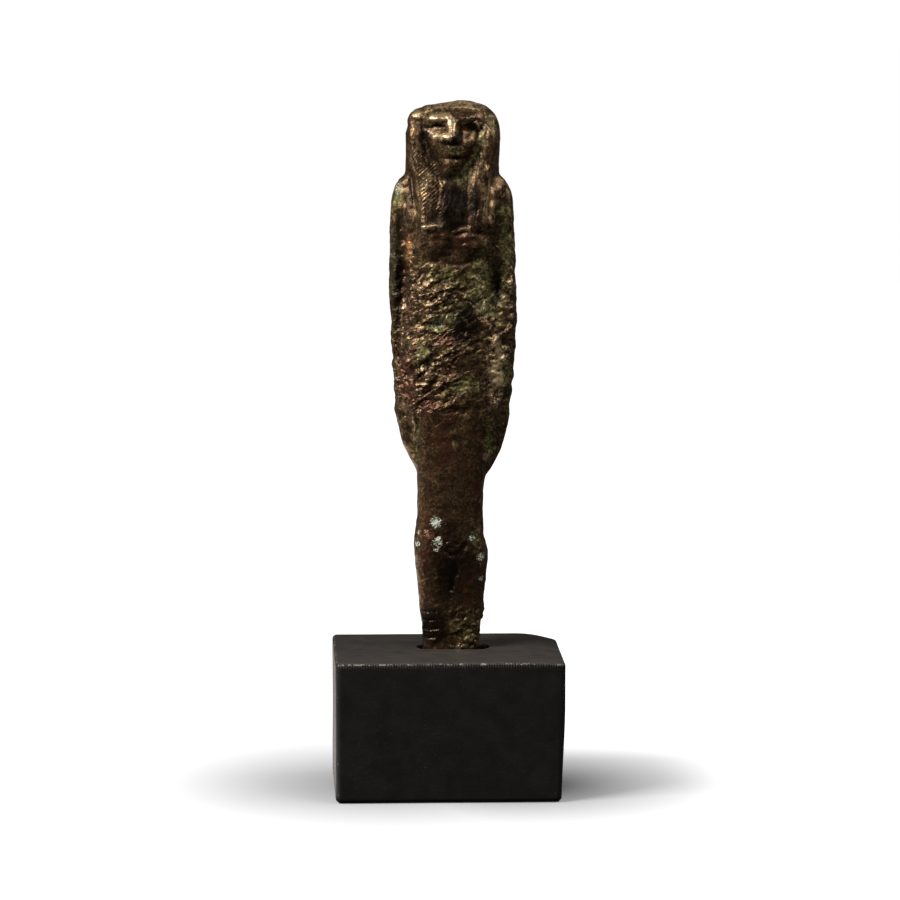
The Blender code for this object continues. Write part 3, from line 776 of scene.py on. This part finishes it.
# Bare metal where the skin is rubbed, with painted highlights on the lit planes, pale mineral in grains,
# and painted shade in the hollows.
speckle = (grain - 0.5) * 1.2 + (dust - 0.5) * 1.0
worn_and_highlight_sum = bronze.kept("worn_and_highlight") * 0.9 + high * 0.35 - bronze.kept("dark_and_shade") * 0.4
worn_and_highlight_sum = worn_and_highlight_sum + speckle + streaks * 0.9 - low * 0.5 - red_at * (1 - green_at) * 0.25
worn_and_highlight_at = worn_and_highlight_sum.rising(0.25, 1.15)
body = bronze.blend(worn_and_highlight_at * 0.8, body, WORN_BRONZE_AND_HIGHLIGHT)
granules = bronze.cloud(0.28, 2.0, 0.5)
pale_at = (bronze.kept("pale") + (granules - 0.5) * 3.6).rising(0.45, 0.70)
pale_at = pale_at * bronze.kept("pale").rising(0.0, 0.15)
body = bronze.blend(pale_at, body, MINERAL)
# Painted shade: the low spots, the hollows, are darkened.
body = bronze.blend(low * 0.45 * (1 - pale_at), body, BLACK_BROWN_AND_SHADE)

# The finest relief: grit, dents, thin scales that rise to the right, and the strokes on the lappet.
grit = bronze.bumps(bronze.cloud(0.45, 3.0, 0.6), 0.08)
dents = bronze.bumps(bronze.cloud(1.5, 3.0, 0.5) * (0.35 + 2.2 * bronze.kept("flaky")), 0.22, grit)
scales = bronze.cloud(1.5, 3.0, 0.6, stretch=(3.0, 1.0, 1.0), slope=FLAKE_SLOPE).rising(0.48, 0.58)
scaly = bronze.bumps(scales * bronze.kept("flaky"), 0.50, dents)
strokes = bronze.bands(STROKE_PITCH, 4.0, slope=STROKE_SLOPE - math.pi / 2) * patch.rising(0.40, 0.55)
hatching = bronze.bumps(strokes * bronze.kept("hatched"), STROKE_DEEP, scaly)

metal = (0.77 - 0.18 * green_at - 0.10 * red_at + 0.15 * dark_and_shade_at) * (1 - pale_at)
rough = 0.34 + 0.12 * green_at + 0.30 * (grain - 0.5) + 0.10 * bronze.kept("streaky")
rough = rough + 0.25 * pale_at - 0.08 * dark_and_shade_at
polish = worn_and_highlight_at * (1 - bronze.kept("streaky")) * (1 - red_at) * 0.8
bronze.put(
    Base_Color=body,
    Metallic=metal,
    Roughness=rough,
    Coat_Weight=polish,
    Coat_Roughness=0.25,
    Normal=hatching,
)
figure.data.materials.append(bronze.material)
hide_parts("figure")
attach(figure, "root")

# The plinth
# A block of blackened wood with softened corners, sawn and rubbed smooth by hand. Its arrises are worn
# and nicked, with pale specks, and the figure's foot stands loose in the slot in its top.

PLINTH_VOXEL = 0.00032
PLINTH_SMOOTHING = 2
PLINTH_TRIANGLES = 90_000

# The worn band along its arrises, the nicks in it, and the slow waves of its faces. The underside
# stays flat, and the wear grows from nothing to its full depth between these heights.
ARRIS = 0.0007
NICK_DEEP = 0.00016
NICK_SIZE = 0.0009
WAVE_DEEP = 0.00004
WAVE_SIZE = 0.012
WORN_ABOVE = (0.0002, 0.0012)

# Its right side is worn down at the top and drawn in below, from this share of its width on.
RIGHT_SIDE = (0.78, 1.04)
SHOULDER_WORN = 0.0016
SIDE_TAPER = 0.0008

# The rasp marks along the front edge of its top: how far below the top and behind the front they
# fade out, and their pitch in millimetres.
RASPED_BELOW_TOP = (0.0003, 0.0014)
RASPED_BEHIND_FRONT = (0.0002, 0.0012)
RASP_PITCH = 0.52

plinth = working_copy("plinth", "plinth_block")
fine_skin(plinth, PLINTH_VOXEL, PLINTH_SMOOTHING)
low_corner, high_corner = (np.array(corner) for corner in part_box("plinth"))
points = vectors(plinth.data.vertices, "co")
normals = vectors(plinth.data.vertex_normals, "vector")
gaps = np.sort(np.minimum(points - low_corner, high_corner - points), axis=1)
near_arris = 1 - ramp(gaps[:, 1], ARRIS * 0.3, ARRIS)
nicks = noise_of(lambda p: noise.fractal(p / NICK_SIZE, 0.8, 2.0, 3), points)
waves = noise_of(lambda p: noise.noise(p / WAVE_SIZE), points)
deep = NICK_DEEP * near_arris * np.clip(nicks + 0.15, 0, 1) + WAVE_DEEP * waves
deep *= ramp(points[:, 2], *WORN_ABOVE)
points -= normals * deep[:, None]
share = (points - low_corner) / (high_corner - low_corner)
at_right = ramp(share[:, 0], *RIGHT_SIDE) ** 2
points[:, 2] -= at_right * ramp(share[:, 2], 0.9, 1.0) * (0.2 + 0.8 * share[:, 1]) * SHOULDER_WORN
points[:, 0] -= at_right * (1 - ramp(share[:, 2], 0.0, 0.7)) * SIDE_TAPER
plinth.data.vertices.foreach_set("co", points.ravel())
plinth.data.update()
keep_value(plinth, "wear", near_arris * np.clip(0.5 + nicks, 0, 1))
# Painted light: the top face is marked to come out lighter, more so towards the front.
keep_value(plinth, "lit_top", ramp(normals[:, 2], 0.7, 0.95) * (1 - 0.35 * share[:, 1]))
near_top = 1 - ramp(high_corner[2] - points[:, 2], *RASPED_BELOW_TOP)
near_front = 1 - ramp(points[:, 1] - low_corner[1], *RASPED_BEHIND_FRONT)
keep_value(plinth, "rasped", near_top * near_front)
thinned(plinth, PLINTH_TRIANGLES)
plinth.data.shade_smooth()

BLACK = (0.0056, 0.0050, 0.0043)
DUSTY_BLACK = (0.0090, 0.0080, 0.0070)
LIT_GREY_TOP = (0.044, 0.036, 0.030)
RASPED_GREY = (0.085, 0.078, 0.070)
BARE_SPECK = (0.30, 0.25, 0.20)

wood = Finish("blackened_wood")
wear = wood.kept("wear")
dust = wood.cloud(4.0, 4.0, 0.6)
fibre = wood.cloud(0.5, 4.0, 0.6, stretch=(6.0, 1.0, 1.0))
fleck = wood.cloud(0.35, 2.0, 0.5)
colour = wood.blend(dust.rising(0.3, 0.75) * 0.6 + fibre.rising(0.45, 0.8) * 0.3, BLACK, DUSTY_BLACK)
# The top face is painted lighter, more so towards the front, as light falling on it.
colour = wood.blend(wood.kept("lit_top") * (0.9 + 1.4 * (fibre - 0.5) + 0.8 * (dust - 0.5)), colour, LIT_GREY_TOP)
colour = wood.blend(fleck.rising(0.72, 0.80) * 0.2, colour, BARE_SPECK)
teeth = wood.bands(RASP_PITCH, 0.6)
rasped_at = wood.kept("rasped") * teeth.rising(0.5, 0.9) * fleck.rising(0.3, 0.6)
colour = wood.blend(rasped_at, colour, RASPED_GREY)
colour = wood.blend((wear + (fleck - 0.5) * 1.6).rising(0.56, 0.92) * 0.8, colour, BARE_SPECK)
wood.put(
    Base_Color=colour,
    Roughness=0.50 + 0.2 * (dust - 0.5) + 0.2 * (fleck - 0.5),
    Specular_IOR_Level=0.35,
    Normal=wood.bumps(fleck + 0.5 * fibre, 0.03),
)
plinth.data.materials.append(wood.material)
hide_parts("plinth")
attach(plinth, "root")

# The studio
# A seamless white floor and backdrop, with a small lamp from the upper left, a broad one from the
# upper right, a weak strip on the left, and light from the floor behind the block.

FLOOR_HALF = 0.9
FLOOR_GREY = 0.30
DROP_RADIUS = 3.0

# The block's shadow, partly painted: the floor glows white away from two spots and holds its glow back near
# them, as painted shadow round the one the lamps cast: where, from how far, to how far.
SHADOWS = (
    ((-0.012, 0.003, 0.0), 0.002, 0.070),
    ((0.014, 0.001, 0.0), 0.010, 0.056),
)

bm = bmesh.new()
bmesh.ops.create_circle(bm, cap_ends=True, segments=64, radius=FLOOR_HALF)
floor = bpy.data.objects.new("floor", bpy.data.meshes.new("floor"))
bm.to_mesh(floor.data)
bm.free()
bpy.context.scene.collection.objects.link(floor)
paper = Finish("white_paper")
ground = paper.node("ShaderNodeTexCoord", out="Object")
painted_glows = []
for spot, start, end in SHADOWS:
    away = paper.node("ShaderNodeVectorMath", {"operation": "DISTANCE"}, {0: ground, 1: spot}, out="Value")
    painted_glows.append(paper.node("ShaderNodeMapRange", {}, {"Value": away, "From Min": start, "From Max": end}))
painted_glow_at = painted_glows[0].math("MINIMUM", *painted_glows)
paper.put(
    Base_Color=(FLOOR_GREY, FLOOR_GREY, FLOOR_GREY, 1.0),
    Roughness=0.9,
    Specular_IOR_Level=0.0,
    Emission_Color=paper.blend(painted_glow_at, (0.0, 0.0, 0.0), (1.0, 1.0, 1.0)),
    Emission_Strength=1.0,
)
floor.data.materials.append(paper.material)
floor.visible_diffuse = False
floor.visible_glossy = False

bm = bmesh.new()
bmesh.ops.create_icosphere(bm, subdivisions=4, radius=DROP_RADIUS)
drop = bpy.data.objects.new("backdrop", bpy.data.meshes.new("backdrop"))
bm.to_mesh(drop.data)
bm.free()
bpy.context.scene.collection.objects.link(drop)
white = Finish("white_drop")
white.put(Base_Color=(0.0, 0.0, 0.0, 1.0), Emission_Color=(1.0, 1.0, 1.0, 1.0), Emission_Strength=1.0)
drop.data.materials.append(white.material)
for kind in ("diffuse", "glossy", "transmission", "volume_scatter", "shadow"):
    setattr(drop, "visible_" + kind, False)

ROOM_COLOUR = (0.95, 0.97, 1.0, 1.0)
ROOM_STRENGTH = 0.04

world = bpy.data.worlds.new("studio")
world.use_nodes = True
world.node_tree.nodes["Background"].inputs["Color"].default_value = ROOM_COLOUR
world.node_tree.nodes["Background"].inputs["Strength"].default_value = ROOM_STRENGTH
bpy.context.scene.world = world
bpy.context.scene.view_settings.view_transform = "Standard"

OBJECT_MIDDLE = Vector((0, 0, 0.07))
FLOOR_GLOW = (1.0, 0.91, 0.85)
GLOW_PLACE = (-0.075, 0.115, 0.0006)
FACING_UP = (0, 1, 0, 0)


def towards(azimuth, elevation):
    """The way from the object to a place round it. Azimuth 0 is in front and 90 on the right."""
    a, e = math.radians(azimuth), math.radians(elevation)
    return Vector((math.sin(a) * math.cos(e), -math.cos(a) * math.cos(e), math.sin(e)))


def softbox(name, azimuth, elevation, distance, width, height, watts, colour=(1.0, 1.0, 1.0)):
    """An oblong lamp that looks at the middle of the object."""
    lamp = bpy.data.lights.new(name, "AREA")
    lamp.shape = "RECTANGLE"
    lamp.size = width
    lamp.size_y = height
    lamp.energy = watts
    lamp.color = colour
    obj = bpy.data.objects.new(name, lamp)
    way = towards(azimuth, elevation)
    obj.location = OBJECT_MIDDLE + way * distance
    obj.rotation_mode = "QUATERNION"
    obj.rotation_quaternion = way.to_track_quat("Z", "Y")
    obj.visible_camera = False
    bpy.context.scene.collection.objects.link(obj)
    return obj


softbox("key", -60, 38, 0.8, 0.32, 0.20, 9.2)
softbox("right", 70, 48, 0.8, 0.90, 0.30, 4.6)
softbox("left_rim", -100, 10, 0.7, 0.10, 0.5, 0.35)
glow = softbox("white_floor", 0, 90, 0.0, 0.10, 0.27, 0.14, FLOOR_GLOW)
glow.location = GLOW_PLACE
glow.rotation_quaternion = FACING_UP

# The camera, with a long lens, is a little left of the front and a little above.
CAMERA_AIM = (0.00051, 0.0, 0.0696)
CAMERA_AZIMUTH = -2.2
CAMERA_ELEVATION = 8.3
CAMERA_DISTANCE = 1.2
CAMERA_LENS = 236.5

camera = bpy.data.objects.new("camera", bpy.data.cameras.new("camera"))
camera.data.lens = CAMERA_LENS
camera.data.sensor_width = 36
camera.data.clip_start = 0.1
camera.data.clip_end = 10
camera.location = Vector(CAMERA_AIM) + towards(CAMERA_AZIMUTH, CAMERA_ELEVATION) * CAMERA_DISTANCE
camera.rotation_mode = "QUATERNION"
camera.rotation_quaternion = towards(CAMERA_AZIMUTH, CAMERA_ELEVATION).to_track_quat("Z", "Y")
bpy.context.scene.collection.objects.link(camera)
bpy.context.scene.camera = camera
